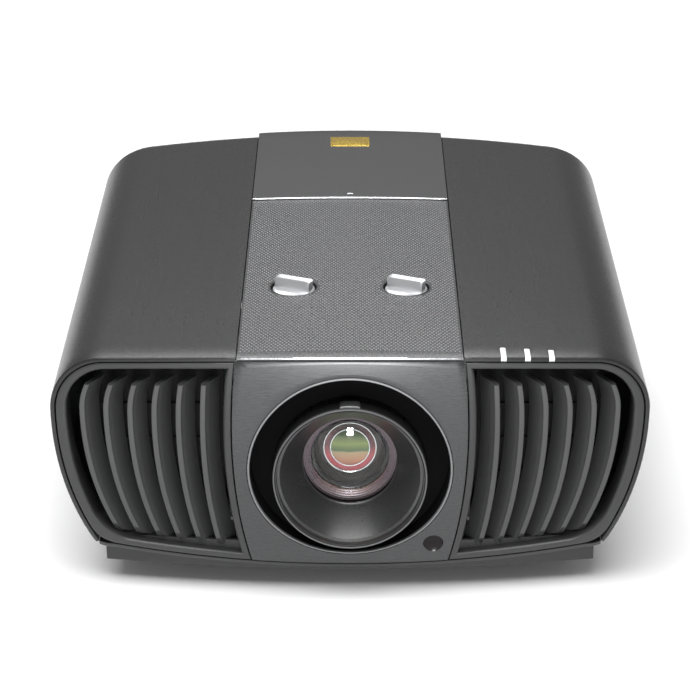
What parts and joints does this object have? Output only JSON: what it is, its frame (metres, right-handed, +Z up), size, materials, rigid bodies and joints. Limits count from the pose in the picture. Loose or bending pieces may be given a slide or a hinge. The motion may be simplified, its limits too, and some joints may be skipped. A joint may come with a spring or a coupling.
{
  "type": "home projector",
  "caption": "Large home-cinema projector with a recessed shifting zoom lens, ribbed front grilles, top shift knobs, a sliding rear cover and adjustable feet.",
  "frame": {"origin": "on the ground under the middle of the case", "axes": "+Z up, +Y towards the back, so the lens looks along -Y; +X to the right seen from behind the viewer facing the lens from the front"},
  "size_m": [0.4706, 0.5646, 0.2249],
  "materials": {
    "cover_dark": "satin",
    "deck_grey": "textured satin",
    "rear_cover_grey": "satin",
    "panel_grey": "brushed satin",
    "trim_silver": "satin",
    "frame_grey": "satin",
    "vane_dark": "satin",
    "filter_black": "open mesh",
    "chassis_black": "matte",
    "light_pipe": "clear",
    "ir_dark": "polished",
    "screw_steel": "plain",
    "rod_steel": "ground",
    "cast_alloy": "as cast",
    "lens_black": "matte",
    "barrel_black": "black anodised",
    "ring_black": "satin",
    "tab_grey": "satin",
    "cell_silver": "turned",
    "lens_glass": "coated",
    "knob_silver": "satin",
    "brass": "turned",
    "optic_glass": "polished",
    "board_green": "solder mask",
    "dichroic": "coated",
    "motor_dark": "plain",
    "lamp_housing": "matte",
    "can_silver": "folded sheet",
    "fan_black": "matte",
    "jack_metal": "plated",
    "inlet_black": "matte",
    "foot_rubber": "matte",
    "key_grey": "matte"
  },
  "bodies": {
    "case": {"bottom_tray": "chassis_black", "left_side_cover": "cover_dark", "right_side_cover": "cover_dark", "shift_deck": "deck_grey", "rear_spine": "chassis_black", "front_panel": "panel_grey", "lens_trim_ring": "trim_silver", "left_grille_frame": "frame_grey", "right_grille_frame": "frame_grey", "left_grille_vanes": "vane_dark", "right_grille_vanes": "vane_dark", "left_dust_filter": "filter_black", "right_dust_filter": "filter_black", "rear_panel": "chassis_black", "light_pipes": "light_pipe", "ir_window": "ir_dark", "tray_screws": "screw_steel", "lens_base_plate": "cast_alloy", "vertical_guide_rods": "rod_steel", "engine_housing": "cast_alloy", "engine_optics": "optic_glass", "dmd_board": "board_green", "colour_wheel_motor": "motor_dark", "lamp_module": "lamp_housing", "lamp_ballast": "can_silver", "power_supply": "board_green", "main_board": "board_green", "left_fan_frame": "fan_black", "right_fan_frame": "fan_black", "signal_connectors": "jack_metal", "power_inlet": "inlet_black", "rear_feet": "foot_rubber"},
    "rear_cover": {"rear_top_cover": "rear_cover_grey"},
    "shift_lift": {"vertical_shift_frame": "cast_alloy", "horizontal_guide_rods": "rod_steel"},
    "lens_body": {"lens_carriage": "cast_alloy", "lens_barrel": "barrel_black", "lens_hood": "lens_black", "lens_shroud": "lens_black"},
    "focus_unit": {"focus_ring": "ring_black", "focus_tab": "tab_grey"},
    "zoom_unit": {"zoom_ring": "ring_black"},
    "front_glass_unit": {"front_lens_cell": "cell_silver", "front_lens": "lens_glass"},
    "zoom_glass_unit": {"zoom_lens_cell": "brass"},
    "vertical_knob_unit": {"vertical_shift_knob": "knob_silver", "vertical_lead_screw": "brass"},
    "horizontal_knob_unit": {"horizontal_shift_knob": "knob_silver", "horizontal_pinion_shaft": "brass"},
    "colour_wheel_unit": {"colour_wheel": "dichroic"},
    "left_fan": {"left_fan_rotor": "fan_black"},
    "right_fan": {"right_fan_rotor": "fan_black"},
    "left_foot": {"left_foot_pad": "foot_rubber"},
    "left_foot_thread": {"left_foot_screw": "screw_steel"},
    "right_foot": {"right_foot_pad": "foot_rubber"},
    "right_foot_thread": {"right_foot_screw": "screw_steel"},
    "power_key": {"power_button": "key_grey"},
    "menu_key": {"menu_button": "key_grey"},
    "back_key": {"back_button": "key_grey"},
    "arrow_key": {"arrow_ring": "key_grey"}
  },
  "joints": [
    {"name": "rear_cover_slide", "type": "slide", "parent": "case", "child": "rear_cover", "axis": [0, 1, 0], "range_m": [0, 0.014]},
    {"name": "vertical_shift", "type": "slide", "parent": "case", "child": "shift_lift", "axis": [0, 0, 1], "range_m": [-0.0052, 0.0052]},
    {"name": "horizontal_shift", "type": "slide", "parent": "shift_lift", "child": "lens_body", "axis": [1, 0, 0], "range_m": [-0.0038, 0.0038]},
    {"name": "focus_turn", "type": "hinge", "parent": "lens_body", "child": "focus_unit", "pos_m": [0, -0.27614, 0.1103], "axis": [0, 1, 0], "range_deg": [-45, 45]},
    {"name": "focus_glass_travel", "type": "slide", "parent": "lens_body", "child": "front_glass_unit", "axis": [0, -1, 0], "range_m": [-0.0015, 0.0015]},
    {"name": "zoom_turn", "type": "hinge", "parent": "lens_body", "child": "zoom_unit", "pos_m": [0, -0.25614, 0.1103], "axis": [0, 1, 0], "range_deg": [-40, 40]},
    {"name": "zoom_glass_travel", "type": "slide", "parent": "lens_body", "child": "zoom_glass_unit", "axis": [0, -1, 0], "range_m": [-0.003, 0.003]},
    {"name": "vertical_knob_turn", "type": "hinge", "parent": "case", "child": "vertical_knob_unit", "pos_m": [-0.0462, -0.13309, 0.21658], "axis": [0, 0, 1], "range_deg": [-190, 190]},
    {"name": "horizontal_knob_turn", "type": "hinge", "parent": "case", "child": "horizontal_knob_unit", "pos_m": [0.0462, -0.13309, 0.21658], "axis": [0, 0, 1], "range_deg": [-44, 44]},
    {"name": "colour_wheel_spin", "type": "hinge", "parent": "case", "child": "colour_wheel_unit", "pos_m": [-0.042, -0.05364, 0.0883], "axis": [0, 1, 0], "continuous": true},
    {"name": "left_fan_spin", "type": "hinge", "parent": "case", "child": "left_fan", "pos_m": [-0.15935, -0.19604, 0.10048], "axis": [0, 1, 0], "continuous": true},
    {"name": "right_fan_spin", "type": "hinge", "parent": "case", "child": "right_fan", "pos_m": [0.15935, -0.19604, 0.10048], "axis": [0, 1, 0], "continuous": true},
    {"name": "left_foot_slide", "type": "slide", "parent": "case", "child": "left_foot", "axis": [0, 0, -1], "range_m": [0, 0.02]},
    {"name": "left_foot_turn", "type": "hinge", "parent": "left_foot", "child": "left_foot_thread", "pos_m": [-0.15035, -0.18004, 0.02], "axis": [0, 0, -1], "range_deg": [0, 5761]},
    {"name": "right_foot_slide", "type": "slide", "parent": "case", "child": "right_foot", "axis": [0, 0, -1], "range_m": [0, 0.02]},
    {"name": "right_foot_turn", "type": "hinge", "parent": "right_foot", "child": "right_foot_thread", "pos_m": [0.15035, -0.18004, 0.02], "axis": [0, 0, -1], "range_deg": [0, 5761]},
    {"name": "power_key_press", "type": "slide", "parent": "case", "child": "power_key", "axis": [0, -1, 0], "range_m": [0, 0.0012], "stiffness_N_per_m": 1500},
    {"name": "menu_key_press", "type": "slide", "parent": "case", "child": "menu_key", "axis": [0, -1, 0], "range_m": [0, 0.0012], "stiffness_N_per_m": 1500},
    {"name": "back_key_press", "type": "slide", "parent": "case", "child": "back_key", "axis": [0, -1, 0], "range_m": [0, 0.0012], "stiffness_N_per_m": 1500},
    {"name": "arrow_key_press", "type": "slide", "parent": "case", "child": "arrow_key", "axis": [0, -1, 0], "range_m": [0, 0.0012], "stiffness_N_per_m": 1500}
  ],
  "couplings": [
    {"joint": "vertical_knob_turn", "follows": "vertical_shift", "rad_per_m": 628.32},
    {"joint": "horizontal_knob_turn", "follows": "horizontal_shift", "rad_per_m": 200},
    {"joint": "focus_glass_travel", "follows": "focus_turn", "m_per_rad": 0.0019099},
    {"joint": "zoom_glass_travel", "follows": "zoom_turn", "m_per_rad": 0.0042972},
    {"joint": "left_foot_turn", "follows": "left_foot_slide", "rad_per_m": 5026.5},
    {"joint": "right_foot_turn", "follows": "right_foot_slide", "rad_per_m": 5026.5}
  ]
}
